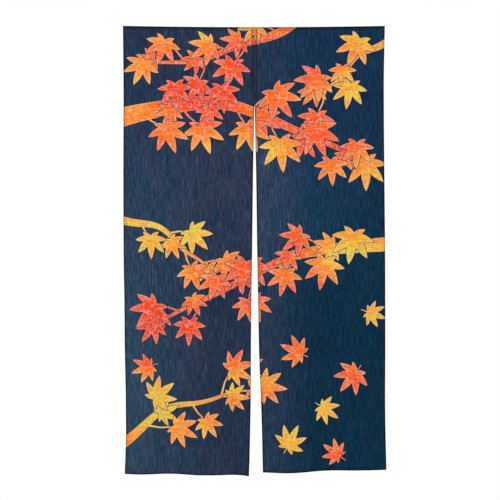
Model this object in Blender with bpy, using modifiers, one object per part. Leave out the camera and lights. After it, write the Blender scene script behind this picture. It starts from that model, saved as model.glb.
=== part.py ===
"""Noren curtain: two hemmed cloth panels, seamed edge to edge above a slit, hung by their top edge.

Metres, +Z up. The origin is the middle of the top edge, and the dyed face looks along -Y.
"""
from collections import namedtuple

import bmesh
import bpy

MM = 0.001

# Driving dimensions
DROP = 1488 * MM  # top edge to hem, at the outer corner of the left panel
CLOTH = 1.2 * MM  # one layer
HEM = 2.4 * MM  # the edge turned once to the back: two layers
SIDE_HEM = 11 * MM  # width of the turned edge along the sides and the slit
END_HEM = 20 * MM  # depth of the turned edge along the top and the bottom
HEM_STEP = 1.5 * MM  # over which the cloth thins from two layers to one
SEAM_GAP = 0.3 * MM  # between the two panels where they are seamed
SLIT_HEAD = 0.172  # share of the drop at which the seam ends and the slit opens
TOP_SAG = 4.2 * MM  # how far the middle of the top edge hangs below its corners
FOLD_GROWTH = 1.25  # how a fold deepens on its way down: 1 is evenly, more is later

# Mesh lines between the hems
COLUMNS = 20
ROWS = 26

# Dyed ground of each panel
LEFT_NAVY = (0.026, 0.045, 0.084)
RIGHT_NAVY = (0.012, 0.032, 0.065)

# The panels' sides as they hang: millimetres from the seam, at shares of the drop
Side = namedtuple("Side", "drop left_outer left_slit right_slit right_outer")
SIDES = (
    Side(0.000, -436.8, 0.0, 0.0, 432.6),
    Side(0.050, -436.1, 0.0, 0.0, 431.2),
    Side(0.130, -434.9, 0.0, 0.0, 429.4),
    Side(SLIT_HEAD, -434.8, 0.0, 0.0, 429.5),
    Side(0.220, -435.0, -1.8, 1.9, 429.8),
    Side(0.320, -435.4, -4.6, 5.2, 431.1),
    Side(0.510, -434.4, -8.2, 9.2, 433.6),
    Side(0.620, -431.8, -10.7, 12.3, 434.2),
    Side(0.720, -430.4, -11.8, 15.0, 434.5),
    Side(0.830, -427.3, -12.6, 21.3, 433.9),
    Side(0.910, -426.6, -14.8, 25.0, 435.2),
    Side(0.960, -428.5, -16.4, 26.6, 437.0),
    Side(1.000, -430.6, -18.2, 27.7, 438.2),
)

# The bottom edge: millimetres below the left outer corner, at shares of a panel's width
HemPoint = namedtuple("HemPoint", "across lower")
LEFT_HEM = (
    HemPoint(0.00, 0.0),
    HemPoint(0.50, 2.3),
    HemPoint(0.84, 4.0),
    HemPoint(0.95, 6.6),
    HemPoint(1.00, 10.0),
)
RIGHT_HEM = (
    HemPoint(0.00, -3.0),
    HemPoint(0.32, -5.0),
    HemPoint(0.58, -10.0),
    HemPoint(0.85, -13.3),
    HemPoint(1.00, -12.8),
)

# Soft upright folds: where each one's line is and how far it reaches to either side, as shares of the
# panel's width, how far it stands forward at the bottom edge, and the share of the drop it starts at
Fold = namedtuple("Fold", "across reach forward start")
LEFT_FOLDS = (
    Fold(-0.03, 0.14, -6 * MM, 0.70),
    Fold(0.13, 0.22, 11 * MM, 0.10),
    Fold(0.37, 0.24, -13 * MM, 0.05),
    Fold(0.64, 0.26, 12 * MM, 0.14),
    Fold(1.03, 0.32, -15 * MM, SLIT_HEAD),
)
RIGHT_FOLDS = (
    Fold(-0.04, 0.26, -13 * MM, SLIT_HEAD),
    Fold(0.22, 0.24, 12 * MM, 0.12),
    Fold(0.50, 0.28, -14 * MM, 0.05),
    Fold(0.80, 0.26, 10 * MM, 0.10),
    Fold(1.04, 0.18, -8 * MM, 0.55),
)


def read_curve(table, key, value, where):
    """A table's column as a smooth curve along its key column, read at one place."""
    keys = [getattr(row, key) for row in table]
    values = [getattr(row, value) for row in table]
    last = len(table) - 1
    i = 0
    while i < last - 1 and where > keys[i + 1]:
        i += 1

    def slope(k):
        """Slope at a row, limited so that the curve stays between its rows."""
        if k in (0, last):
            return 0.0
        before = (values[k] - values[k - 1]) / (keys[k] - keys[k - 1])
        after = (values[k + 1] - values[k]) / (keys[k + 1] - keys[k])
        if before * after <= 0:
            return 0.0
        return 2 * before * after / (before + after)

    span = keys[i + 1] - keys[i]
    t = (where - keys[i]) / span
    rise = values[i + 1] - values[i]
    leaving = slope(i) * span
    arriving = slope(i + 1) * span
    bend = 3 * rise - 2 * leaving - arriving
    return values[i] + leaving * t + bend * t**2 + (leaving + arriving - 2 * rise) * t**3


def forward(folds, across, drop):
    """How far the folds bring a point of the cloth forward of the plane it hangs in."""
    total = 0.0
    for fold in folds:
        away = abs(across - fold.across) / fold.reach
        if away < 1 and drop > fold.start:
            grown = ((drop - fold.start) / (1 - fold.start)) ** FOLD_GROWTH
            total += fold.forward * grown * (1 - away**2) ** 2
    return total


def hang(across, drop, edges, seam_shift, hem, folds):
    """Where a point of a panel's front face hangs, given as shares of the panel's width and drop."""
    low = read_curve(SIDES, "drop", edges[0], drop) * MM
    high = read_curve(SIDES, "drop", edges[1], drop) * MM
    x = low + (high - low) * across + seam_shift
    half_width = SIDES[0].right_outer * MM
    top = TOP_SAG * (x / half_width) ** 2
    bottom = TOP_SAG - DROP - read_curve(hem, "across", "lower", across) * MM
    return x, -forward(folds, across, drop), top + (bottom - top) * drop


def mesh_lines(length, hem, inner):
    """Shares of a length where the mesh has a line: both edges, both hems' steps, and evenly between."""
    step_end = (hem + HEM_STEP) / length
    between = [step_end + (1 - 2 * step_end) * i / inner for i in range(inner + 1)]
    return [0.0, hem / length, *between, 1 - hem / length, 1.0]


def make_panel(name, edges, seam_shift, hem, folds, navy, collection):
    """A panel: an open sheet in its hanging shape, thickened to the back, and doubled along its hems."""
    width = SIDES[0].right_outer * MM
    columns = mesh_lines(width, SIDE_HEM, COLUMNS)
    rows = mesh_lines(DROP, END_HEM, ROWS)
    sheet = bmesh.new()
    bmesh.ops.create_grid(sheet, x_segments=len(columns) - 1, y_segments=len(rows) - 1, size=0.5)
    in_hem = []
    for index, vertex in enumerate(sheet.verts):
        column = round((vertex.co.x + 0.5) * (len(columns) - 1))
        row = round((0.5 - vertex.co.y) * (len(rows) - 1))
        vertex.co = hang(columns[column], rows[row], edges, seam_shift, hem, folds)
        from_side = min(column, len(columns) - 1 - column)
        from_end = min(row, len(rows) - 1 - row)
        if min(from_side, from_end) <= 1:
            in_hem.append(index)
    mesh = bpy.data.meshes.new(name)
    sheet.to_mesh(mesh)
    sheet.free()
    mesh.shade_smooth()
    mesh.materials.append(dyed_cloth(name + " cloth", navy))
    cloth = bpy.data.objects.new(name, mesh)
    collection.objects.link(cloth)
    doubled = cloth.vertex_groups.new(name="hem")
    doubled.add(in_hem, 1.0, "REPLACE")
    thick = cloth.modifiers.new("layers of cloth", "SOLIDIFY")
    thick.thickness = HEM
    thick.offset = -1
    thick.vertex_group = doubled.name
    thick.thickness_vertex_group = CLOTH / HEM
    thick.use_even_offset = True


def dyed_cloth(name, navy):
    """Matt dyed cloth."""
    material = bpy.data.materials.new(name)
    material.use_nodes = True
    shader = material.node_tree.nodes["Principled BSDF"]
    shader.inputs["Base Color"].default_value = (*navy, 1)
    shader.inputs["Roughness"].default_value = 0.9
    shader.inputs["Metallic"].default_value = 0.0
    return material


def main():
    for old in list(bpy.data.objects):
        bpy.data.objects.remove(old)
    noren = bpy.data.collections.new("noren_curtain")
    bpy.context.scene.collection.children.link(noren)
    left_edges = ("left_outer", "left_slit")
    right_edges = ("right_slit", "right_outer")
    make_panel("panel_left", left_edges, -SEAM_GAP / 2, LEFT_HEM, LEFT_FOLDS, LEFT_NAVY, noren)
    make_panel("panel_right", right_edges, SEAM_GAP / 2, RIGHT_HEM, RIGHT_FOLDS, RIGHT_NAVY, noren)


main()
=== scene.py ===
# %% [markdown]
# # A noren curtain: two dyed panels that hang in a doorway
#
# The solids of the curtain give its size and the shape in which it hangs. This lesson dresses them: a thin
# sheet of cloth with turned hems for each panel, a stencilled print that was dyed into it, a slub weave, and
# the stitches that hold the hems and the seam. Lengths are in metres, +Z is up, and the dyed face looks
# along -Y.

# %% Load the solids
import math
import random
from collections import namedtuple

import bmesh
import bpy
import numpy as np
from mathutils import Matrix, Vector


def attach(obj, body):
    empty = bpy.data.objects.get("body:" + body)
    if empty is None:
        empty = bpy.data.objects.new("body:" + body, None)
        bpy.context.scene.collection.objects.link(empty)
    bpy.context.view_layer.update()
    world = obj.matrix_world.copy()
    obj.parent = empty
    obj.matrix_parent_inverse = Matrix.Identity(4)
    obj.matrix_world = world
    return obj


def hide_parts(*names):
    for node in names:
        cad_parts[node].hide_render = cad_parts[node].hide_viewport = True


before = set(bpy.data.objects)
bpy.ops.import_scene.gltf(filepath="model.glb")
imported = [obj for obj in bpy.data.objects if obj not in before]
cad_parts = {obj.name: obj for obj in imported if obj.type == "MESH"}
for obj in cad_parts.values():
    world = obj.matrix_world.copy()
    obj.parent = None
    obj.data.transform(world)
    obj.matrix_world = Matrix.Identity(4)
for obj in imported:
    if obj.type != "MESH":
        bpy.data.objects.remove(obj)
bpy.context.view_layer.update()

# %% [markdown]
# ## Sizes
#
# A panel's finished size is what is left once its edges are turned. Everything else is worked out from it.

# %% Name the sizes
MM = 0.001
PANEL_WIDTH = 434 * MM
DROP = 1488 * MM
SIDE_HEM = 11 * MM  # turned to the back along the sides and the slit
END_HEM = 20 * MM  # turned to the back along the top and the bottom
CLOTH = 1.1 * MM  # one layer
TURN = 0.6 * MM  # radius of the turned edge, at the middle of the cloth
SEAM_GAP = 0.08 * MM  # closed up tighter than the solids, which must stay apart
SLIT_HEAD = 0.172  # share of the drop at which the seam ends
SIDE_STITCH = 8.5 * MM  # from the edge to the row of stitches
END_STITCH = 16.5 * MM
EDGE = TURN + CLOTH / 2  # from the finished edge to where the cloth starts to turn
print(f"finished panel {PANEL_WIDTH * 1000:.0f} by {DROP * 1000:.0f} mm")

# %% [markdown]
# ## Camera
#
# The curtain was seen straight on, from far enough away that its sides look parallel. A long lens does that.
# The camera stands in front of the middle of the picture. One pixel of the 500 is 3.32 mm of cloth, which
# with the lens gives the distance. The small helper that puts the camera in the scene is used again for each
# lamp and each piece of the curtain.

# %% Set the camera
PICTURE_PIXELS = 500
PIXEL = 3.32 * MM
LENS_MM = 100
SENSOR_MM = 36
SEAM_PIXEL = 254.5  # column of the seam in the picture
TOP_PIXEL = 27.1  # row of the top edge's middle


def add_object(name, data):
    """An object at the origin, linked to the scene."""
    made = bpy.data.objects.new(name, data)
    bpy.context.scene.collection.objects.link(made)
    return made


camera = add_object("camera", bpy.data.cameras.new("camera"))
camera.data.lens = LENS_MM
camera.data.sensor_width = SENSOR_MM
distance = PICTURE_PIXELS * PIXEL * LENS_MM / SENSOR_MM
camera.location = (
    (PICTURE_PIXELS / 2 - SEAM_PIXEL) * PIXEL,
    -distance,
    (TOP_PIXEL - PICTURE_PIXELS / 2) * PIXEL,
)
camera.rotation_euler = (math.radians(90), 0, 0)
bpy.context.scene.camera = camera
print(f"camera {distance:.2f} m in front of the cloth")

# %% [markdown]
# ## Stage and light
#
# A round pale floor lies below the hem, too small to reach into the picture. The world is white where the
# camera looks past the cloth, and dimmer as a light, so that two large lamps in front, the left one stronger,
# can give the folds a soft side. A lamp behind keeps the back readable.

# %% Lay the floor and hang the lights
FLOOR_BELOW = 1.80
FLOOR_RADIUS = 1.0
FLOOR_SIDES = 96


def plain_material(name, colour, roughness):
    material = bpy.data.materials.new(name)
    material.use_nodes = True
    shader = material.node_tree.nodes["Principled BSDF"]
    shader.inputs["Base Color"].default_value = (*colour, 1)
    shader.inputs["Roughness"].default_value = roughness
    return material


floor_bm = bmesh.new()
bmesh.ops.create_circle(floor_bm, cap_ends=True, segments=FLOOR_SIDES, radius=FLOOR_RADIUS)
bmesh.ops.translate(floor_bm, verts=floor_bm.verts, vec=(0, 0, -FLOOR_BELOW))
floor_mesh = bpy.data.meshes.new("floor")
floor_bm.to_mesh(floor_mesh)
floor_bm.free()
floor_mesh.materials.append(plain_material("pale floor", (0.82, 0.82, 0.81), 0.7))
floor = add_object("floor", floor_mesh)

Lamp = namedtuple("Lamp", "name x y z size watts")
LAMPS = (
    Lamp("key", -2.3, -3.2, 0.6, 2.4, 106),
    Lamp("fill", 2.5, -3.4, -0.2, 2.6, 56),
    Lamp("back", 0.8, 3.4, 0.4, 2.4, 80),
)
AIM = Vector((0, 0, -DROP / 2))
for lamp in LAMPS:
    light = bpy.data.lights.new(lamp.name, "AREA")
    light.size = lamp.size
    light.energy = lamp.watts
    holder = add_object(lamp.name, light)
    holder.location = (lamp.x, lamp.y, lamp.z)
    holder.rotation_euler = (AIM - holder.location).to_track_quat("-Z", "Y").to_euler()

WORLD_SEEN = 1.0
WORLD_LIGHT = 0.50
world = bpy.data.worlds.new("white room")
world.use_nodes = True
bpy.context.scene.world = world
sky = world.node_tree.nodes["Background"]
sky.inputs["Color"].default_value = (1, 1, 1, 1)
path = world.node_tree.nodes.new("ShaderNodeLightPath")
strength = world.node_tree.nodes.new("ShaderNodeMapRange")
strength.inputs["To Min"].default_value = WORLD_LIGHT
strength.inputs["To Max"].default_value = WORLD_SEEN
world.node_tree.links.new(path.outputs["Is Camera Ray"], strength.inputs["Value"])
world.node_tree.links.new(strength.outputs["Result"], sky.inputs["Strength"])
bpy.context.scene.view_settings.view_transform = "Standard"
print("lamps:", [lamp.name for lamp in LAMPS])

# %% [markdown]
# ## How the cloth hangs
#
# These tables are the ones that the solids were made from, so the sheet lies on its solid's folds. Only the
# row just below the slit's head is added, where the slit opens a little sooner. The sides are uneven, each
# panel draws in by a few per cent towards the bottom, where soft upright folds take up the width, and the
# slit opens. Cloth simulation could find such folds, but not these ones: tables keep the outline of the real
# curtain.

# %% Tables of the sides, the bottom edge and the folds
Side = namedtuple("Side", "drop left_outer left_slit right_slit right_outer")  # share, then mm from the seam
SIDES = (
    Side(0.000, -436.8, 0.0, 0.0, 432.6),
    Side(0.050, -436.1, 0.0, 0.0, 431.2),
    Side(0.130, -434.9, 0.0, 0.0, 429.4),
    Side(SLIT_HEAD, -434.8, 0.0, 0.0, 429.5),
    Side(0.185, -434.8, -0.9, 0.9, 429.6),
    Side(0.220, -435.0, -1.8, 1.9, 429.8),
    Side(0.320, -435.4, -4.6, 5.2, 431.1),
    Side(0.510, -434.4, -8.2, 9.2, 433.6),
    Side(0.620, -431.8, -10.7, 12.3, 434.2),
    Side(0.720, -430.4, -11.8, 15.0, 434.5),
    Side(0.830, -427.3, -12.6, 21.3, 433.9),
    Side(0.910, -426.6, -14.8, 25.0, 435.2),
    Side(0.960, -428.5, -16.4, 26.6, 437.0),
    Side(1.000, -430.6, -18.2, 27.7, 438.2),
)
HemPoint = namedtuple("HemPoint", "across lower")  # share of the width, then mm
LEFT_HEM = (
    HemPoint(0.00, 0.0),
    HemPoint(0.50, 2.3),
    HemPoint(0.84, 4.0),
    HemPoint(0.95, 6.6),
    HemPoint(1.00, 10.0),
)
RIGHT_HEM = (
    HemPoint(0.00, -3.0),
    HemPoint(0.32, -5.0),
    HemPoint(0.58, -10.0),
    HemPoint(0.85, -13.3),
    HemPoint(1.00, -12.8),
)
Fold = namedtuple("Fold", "across reach forward start")
LEFT_FOLDS = (
    Fold(-0.03, 0.14, -6 * MM, 0.70),
    Fold(0.13, 0.22, 11 * MM, 0.10),
    Fold(0.37, 0.24, -13 * MM, 0.05),
    Fold(0.64, 0.26, 12 * MM, 0.14),
    Fold(1.03, 0.32, -15 * MM, SLIT_HEAD),
)
RIGHT_FOLDS = (
    Fold(-0.04, 0.26, -13 * MM, SLIT_HEAD),
    Fold(0.22, 0.24, 12 * MM, 0.12),
    Fold(0.50, 0.28, -14 * MM, 0.05),
    Fold(0.80, 0.26, 10 * MM, 0.10),
    Fold(1.04, 0.18, -8 * MM, 0.55),
)
FOLD_GROWTH = 1.25  # how a fold deepens on its way down: 1 is evenly, more is later
TOP_SAG = 4.2 * MM  # how far the middle of the top edge hangs below its corners
slit_foot = SIDES[-1].right_slit - SIDES[-1].left_slit
print(f"{len(LEFT_FOLDS)} folds a panel, and a slit that opens to {slit_foot:.0f} mm at the bottom")

# %% [markdown]
# On top of the folds the cloth has slighter creases, which are too fine for the solids. Each is a soft ridge,
# or a trough where its height is negative, that leans a little, runs from one height to another and fades at
# both ends.

# %% Tables of the creases
Crease = namedtuple("Crease", "across lean top bottom reach height")
LEFT_CREASES = (
    Crease(0.06, 0.02, 0.05, 0.60, 0.035, 0.9 * MM),
    Crease(0.21, -0.03, 0.30, 1.10, 0.045, -1.2 * MM),
    Crease(0.30, 0.01, 0.02, 0.45, 0.040, -0.8 * MM),
    Crease(0.49, 0.04, 0.38, 1.12, 0.050, 1.4 * MM),
    Crease(0.58, -0.02, 0.10, 0.72, 0.035, -0.9 * MM),
    Crease(0.76, 0.02, 0.22, 1.08, 0.045, -1.5 * MM),
    Crease(0.88, 0.05, 0.16, 0.80, 0.040, 1.2 * MM),
    Crease(0.93, -0.01, 0.60, 1.15, 0.045, 1.6 * MM),
)
RIGHT_CREASES = (
    Crease(0.07, 0.04, 0.15, 0.70, 0.040, 1.2 * MM),
    Crease(0.11, 0.00, 0.62, 1.12, 0.045, -1.4 * MM),
    Crease(0.33, 0.02, 0.08, 0.66, 0.040, -1.0 * MM),
    Crease(0.37, -0.03, 0.48, 1.10, 0.050, 1.5 * MM),
    Crease(0.60, 0.02, 0.04, 0.58, 0.045, 0.9 * MM),
    Crease(0.66, 0.03, 0.45, 1.14, 0.045, 1.3 * MM),
    Crease(0.84, -0.02, 0.20, 0.85, 0.040, -1.2 * MM),
    Crease(0.94, 0.01, 0.50, 1.10, 0.035, 1.0 * MM),
)
DIMPLE = 0.35 * MM  # how far a row of stitches draws the cloth in
DIMPLE_REACH = 3 * MM
highest = max(abs(crease.height) for crease in LEFT_CREASES + RIGHT_CREASES)
print(f"{len(LEFT_CREASES)} creases a panel, up to {highest * 1000:.1f} mm high")

# %% [markdown]
# A panel is described by which columns of the tables it uses, and by where its left side is on the flat cloth
# of the whole curtain, whose seam is at zero.

# %% Name the two panels
Panel = namedtuple("Panel", "name node slot edges seam_shift hem folds creases flat_left")
PANELS = (
    Panel(
        "cloth_left", "panel_left", "cloth_left", ("left_outer", "left_slit"), -SEAM_GAP / 2,
        LEFT_HEM, LEFT_FOLDS, LEFT_CREASES, -PANEL_WIDTH,
    ),
    Panel(
        "cloth_right", "panel_right", "cloth_right", ("right_slit", "right_outer"), SEAM_GAP / 2,
        RIGHT_HEM, RIGHT_FOLDS, RIGHT_CREASES, 0.0,
    ),
)
print("panels:", [panel.name for panel in PANELS])

# %% [markdown]
# The functions below turn a place on the flat panel into a place in the doorway. They work on whole arrays,
# which keeps a fine mesh quick. A curve through a table's rows is a cubic whose slopes are limited, so it
# never swings past its rows.

# %% Hang a point of the cloth


def read_curve(table, key, value, where):
    """A table's column as a smooth curve along its key column, read at many places."""
    keys = np.array([getattr(row, key) for row in table])
    values = np.array([getattr(row, value) for row in table])
    spans = np.diff(keys)
    rises = np.diff(values) / spans
    slopes = np.zeros(len(keys))
    both = rises[:-1] * rises[1:]
    total = rises[:-1] + rises[1:]
    slopes[1:-1] = np.where(both > 0, 2 * both / np.where(both > 0, total, 1), 0)
    i = np.clip(np.searchsorted(keys, where) - 1, 0, len(spans) - 1)
    t = (where - keys[i]) / spans[i]
    rise = rises[i] * spans[i]
    leaving = slopes[i] * spans[i]
    arriving = slopes[i + 1] * spans[i]
    bend = 3 * rise - 2 * leaving - arriving
    return values[i] + leaving * t + bend * t**2 + (leaving + arriving - 2 * rise) * t**3


def bell(away):
    """1 on a fold's line, falling softly to 0 at its reach."""
    return np.where(np.abs(away) < 1, (1 - away**2) ** 2, 0)


def forward(panel, across, drop):
    """How far the folds, creases and stitch rows bring the cloth forward."""
    total = np.zeros_like(across)
    for fold in panel.folds:
        grown = np.clip((drop - fold.start) / (1 - fold.start), 0, 1) ** FOLD_GROWTH
        total += fold.forward * grown * bell((across - fold.across) / fold.reach)
    for crease in panel.creases:
        along = (drop - crease.top) / (crease.bottom - crease.top)
        line = crease.across + crease.lean * (along - 0.5)
        total += crease.height * bell(2 * along - 1) * bell((across - line) / crease.reach)
    from_side = PANEL_WIDTH * np.minimum(across, 1 - across)
    from_end = DROP * np.minimum(drop, 1 - drop)
    for distance_in, row in ((from_side, SIDE_STITCH), (from_end, END_STITCH)):
        total -= DIMPLE * bell((distance_in - row) / DIMPLE_REACH)
    return total


def hang(panel, across, drop):
    """Where the front face hangs, given as shares of the panel's width and drop."""
    low = read_curve(SIDES, "drop", panel.edges[0], drop) * MM
    high = read_curve(SIDES, "drop", panel.edges[1], drop) * MM
    x = low + (high - low) * across + panel.seam_shift
    half_width = SIDES[0].right_outer * MM
    top = TOP_SAG * (x / half_width) ** 2
    bottom = TOP_SAG - DROP - read_curve(panel.hem, "across", "lower", across) * MM
    return np.stack([x, -forward(panel, across, drop), top + (bottom - top) * drop], axis=-1)


for panel in PANELS:
    corner = hang(panel, np.array([0.0, 1.0]), np.array([1.0, 1.0]))
    print(panel.name, "bottom corners at", np.round(corner, 3).tolist())

# %% [markdown]
# ## The sheet and its hems
#
# A noren's edges are turned to the back and sewn down. The sheet starts as a flat grid, the size of the
# finished panel. Each side's edges are then extruded again and again: four times round the turn, then inwards
# behind the panel. Each new vertex remembers which side it belongs to and how many steps it is past the edge,
# and the shape is worked out from that afterwards. Near a corner the hem is cut back to a mitre, as a sewer
# does, so that no two hems lie on each other, and the ends of the two turns are drawn out to meet in a square
# corner.

# %% Cut a panel and turn its hems
PITCH = 4.2 * MM  # of the mesh, away from the hems
SAME_LINE = 0.1 * MM  # points closer to a line of the mesh than this are on it
TURN_STEPS = 4
SIDE_LINES = (EDGE, 4.8 * MM, SIDE_STITCH, SIDE_HEM, 14 * MM)
END_LINES = (EDGE, 6 * MM, 11 * MM, END_STITCH, END_HEM, 24 * MM)
HEM_STEPS = 3
LEFT, RIGHT, TOP, BOTTOM = range(1, 5)  # the sides of a panel, where 0 is none


def mesh_lines(length, near_edge):
    """Where the mesh has lines: close together in the hems, and evenly spaced between them."""
    near = np.array(near_edge)
    first, last = near[-1], length - near[-1]
    count = round((last - first) / PITCH)
    return np.concatenate([near, np.linspace(first, last, count + 1)[1:-1], (length - near)[::-1]])


def cut_panel(name):
    """The flat panel with its hem strips, not yet folded."""
    across = mesh_lines(PANEL_WIDTH, SIDE_LINES)
    down = mesh_lines(DROP, END_LINES)
    bm = bmesh.new()
    keep = {key: bm.verts.layers.float.new(key) for key in ("across", "down")}
    side_of = bm.verts.layers.int.new("side")
    step_of = bm.verts.layers.int.new("step")
    bmesh.ops.create_grid(bm, x_segments=len(across) - 1, y_segments=len(down) - 1, size=0.5)
    for vert in bm.verts:
        column = round((vert.co.x + 0.5) * (len(across) - 1))
        row = round((0.5 - vert.co.y) * (len(down) - 1))
        vert[keep["across"]] = across[column]
        vert[keep["down"]] = down[row]
    lines = {
        LEFT: ("across", across[0]),
        RIGHT: ("across", across[-1]),
        TOP: ("down", down[0]),
        BOTTOM: ("down", down[-1]),
    }
    borders = {}
    for side, (key, value) in lines.items():
        on_line = {v for v in bm.verts if abs(v[keep[key]] - value) < SAME_LINE}
        borders[side] = [e for e in bm.edges if e.is_boundary and set(e.verts) <= on_line]
    for side, border in borders.items():
        for step in range(1, TURN_STEPS + HEM_STEPS + 1):
            made = bmesh.ops.extrude_edge_only(bm, edges=border)["geom"]
            new = {g for g in made if isinstance(g, bmesh.types.BMVert)}
            border = [g for g in made if isinstance(g, bmesh.types.BMEdge) and set(g.verts) <= new]
            for vert in new:
                vert[side_of] = side
                vert[step_of] = step
    mesh = bpy.data.meshes.new(name)
    bm.to_mesh(mesh)
    bm.free()
    return mesh


def stored(mesh, name, kind=float):
    """A mesh attribute with one number a point, as an array."""
    values = np.empty(len(mesh.vertices), np.float32 if kind is float else np.int32)
    mesh.attributes[name].data.foreach_get("value", values)
    return values.astype(kind)


def fold_panel(mesh, panel):
    """Moves the points to where the panel hangs, and returns each point's place on the flat cloth."""
    across, down = stored(mesh, "across"), stored(mesh, "down")
    side, step = stored(mesh, "side", int), stored(mesh, "step", int)
    across = np.clip(across, EDGE, PANEL_WIDTH - EDGE)
    down = np.clip(down, EDGE, DROP - EDGE)
    upright = (side == LEFT) | (side == RIGHT)
    from_corner = np.where(upright, np.minimum(down, DROP - down), np.minimum(across, PANEL_WIDTH - across))
    mitre = np.clip(from_corner / np.where(upright, END_HEM, SIDE_HEM), 0, 1)
    angle = np.pi * np.minimum(step, TURN_STEPS) / TURN_STEPS
    hem = np.where(upright, SIDE_HEM, END_HEM) - EDGE
    inward = np.maximum(step - TURN_STEPS, 0) / HEM_STEPS * hem * mitre
    outward = TURN * np.sin(angle)
    sign_x = np.select([side == LEFT, side == RIGHT], [1, -1], 0)
    sign_t = np.select([side == TOP, side == BOTTOM], [1, -1], 0)
    point = hang(panel, (across + sign_x * inward) / PANEL_WIDTH, (down + sign_t * inward) / DROP)
    at_corner = from_corner < EDGE + SAME_LINE
    square_up = np.where(at_corner, EDGE * np.sin(angle), 0)
    corner_x = np.where(upright, 0, np.where(across < PANEL_WIDTH / 2, -1, 1))
    corner_z = np.where(upright, np.where(down < DROP / 2, 1, -1), 0)
    point[:, 0] += corner_x * square_up - sign_x * outward
    point[:, 1] += CLOTH / 2 + TURN * (1 - np.cos(angle))
    point[:, 2] += corner_z * square_up + sign_t * outward
    mesh.vertices.foreach_set("co", point.astype(np.float32).ravel())
    beyond = TURN * angle + inward
    return np.stack([panel.flat_left + across - sign_x * beyond, down - sign_t * beyond], axis=-1)


meshes = {panel.name: cut_panel(panel.name) for panel in PANELS}
flats = {panel.name: fold_panel(meshes[panel.name], panel) for panel in PANELS}
for name, mesh in meshes.items():
    print(name, len(mesh.polygons), "faces before it is thickened")

# %% [markdown]
# ## The print: maple boughs
#
# The print is a picture in orange, red and yellow on navy. It is made of two kinds of stencil. A *lobe* is a
# pointed, toothed blade, and seven of them joined by a palm are a maple leaf. A *band* is a strip along a
# line, for boughs, twigs, stalks and palms. Each says, for any place on the cloth, how far along it that
# place is, how far to its side, and how wide the stencil is there. Painting an image would be simpler, but it
# would blur when seen close. These numbers stay sharp at any size.

# %% The shapes of the stencils
BELLY = 0.40  # where along a lobe it is widest
BELLY_POWER = math.log(0.5) / math.log(BELLY)
ROUNDNESS = 0.85
TEETH = 9
TOOTH = 0.13
TOOTH_START = 0.01  # a band is read right where a tooth begins, and this keeps it off the one before
PAST_TIP = 6.0  # how fast the outline falls away past a lobe's ends
RIM = 2.0 * MM  # ground left bare round a stencil that lies over another


def outline(u):
    """A stencil's half-width along its length, as a share of its widest: 1 at BELLY, and all along a band."""
    s = np.clip(u, 0, 1) ** BELLY_POWER
    teeth = 1 - TOOTH * np.mod((u - BELLY) * TEETH + TOOTH_START, 1)
    return (4 * s * (1 - s)) ** ROUNDNESS * teeth - PAST_TIP * np.maximum(np.maximum(u - 1, -u), 0)


class LobeStencil:
    """A blade from a place on the flat cloth, in a direction."""

    def __init__(self, x, t, angle, length, half_width, tone):
        self.start = (x, t)
        self.way = (math.cos(angle), math.sin(angle))
        self.length, self.half_width, self.tone = length, half_width, tone
        end = (x + self.way[0] * length, t + self.way[1] * length)
        self.points = np.array([self.start, end])
        self.most = half_width

    def local(self, x, t):
        dx, dt = x - self.start[0], t - self.start[1]
        along = (dx * self.way[0] + dt * self.way[1]) / self.length
        aside = (dt * self.way[0] - dx * self.way[1]) / self.half_width
        return along, aside, np.full_like(x, self.half_width)


class BandStencil:
    """A strip along a line of points, with its own half-width at each, and pointed ends."""

    def __init__(self, points, half_widths, tone, taper=1.6, grain=0.0):
        self.points, self.half_widths, self.tone = np.array(points), half_widths, tone
        self.taper, self.belly = taper, BELLY + grain
        self.most = max(half_widths) * max(1, taper)

    def local(self, x, t):
        along, aside, half_width = np.zeros_like(x), np.zeros_like(x), np.ones_like(x)
        nearest = np.full_like(x, np.inf)
        last = len(self.points) - 2
        for k, (start, end) in enumerate(zip(self.points, self.points[1:])):
            length = math.dist(start, end)
            way = (end - start) / length
            from_start = (x - start[0]) * way[0] + (t - start[1]) * way[1]
            side = (t - start[1]) * way[0] - (x - start[0]) * way[1]
            on_line = np.clip(from_start, 0, length)
            away = np.hypot(side, from_start - on_line)
            before = -from_start if k == 0 else np.full_like(x, -1)
            after = from_start - length if k == last else np.full_like(x, -1)
            past = np.maximum(np.maximum(before, after), 0)
            share = on_line / length
            half = self.half_widths[k] * (1 - share) + self.half_widths[k + 1] * share
            nearer = away - half < nearest
            nearest = np.where(nearer, away - half, nearest)
            half_width = np.where(nearer, half, half_width)
            aside = np.where(nearer, np.where(past > 0, side, np.copysign(away, side)), aside)
            along = np.where(nearer, self.belly + (1 - BELLY) * past / (self.taper * half), along)
        return along, aside / half_width, half_width


print("half-widths along a lobe:", np.round(outline(np.linspace(0, 1, 6)), 2).tolist())

# %% [markdown]
# The layout is a short table of boughs, which come in from the edges, and a few fallen leaves. Twigs grow
# from a bough by turns to either side, and end in leaves that hang down. The dice that make them uneven have
# a fixed seed, so the print is the same each time.

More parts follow.
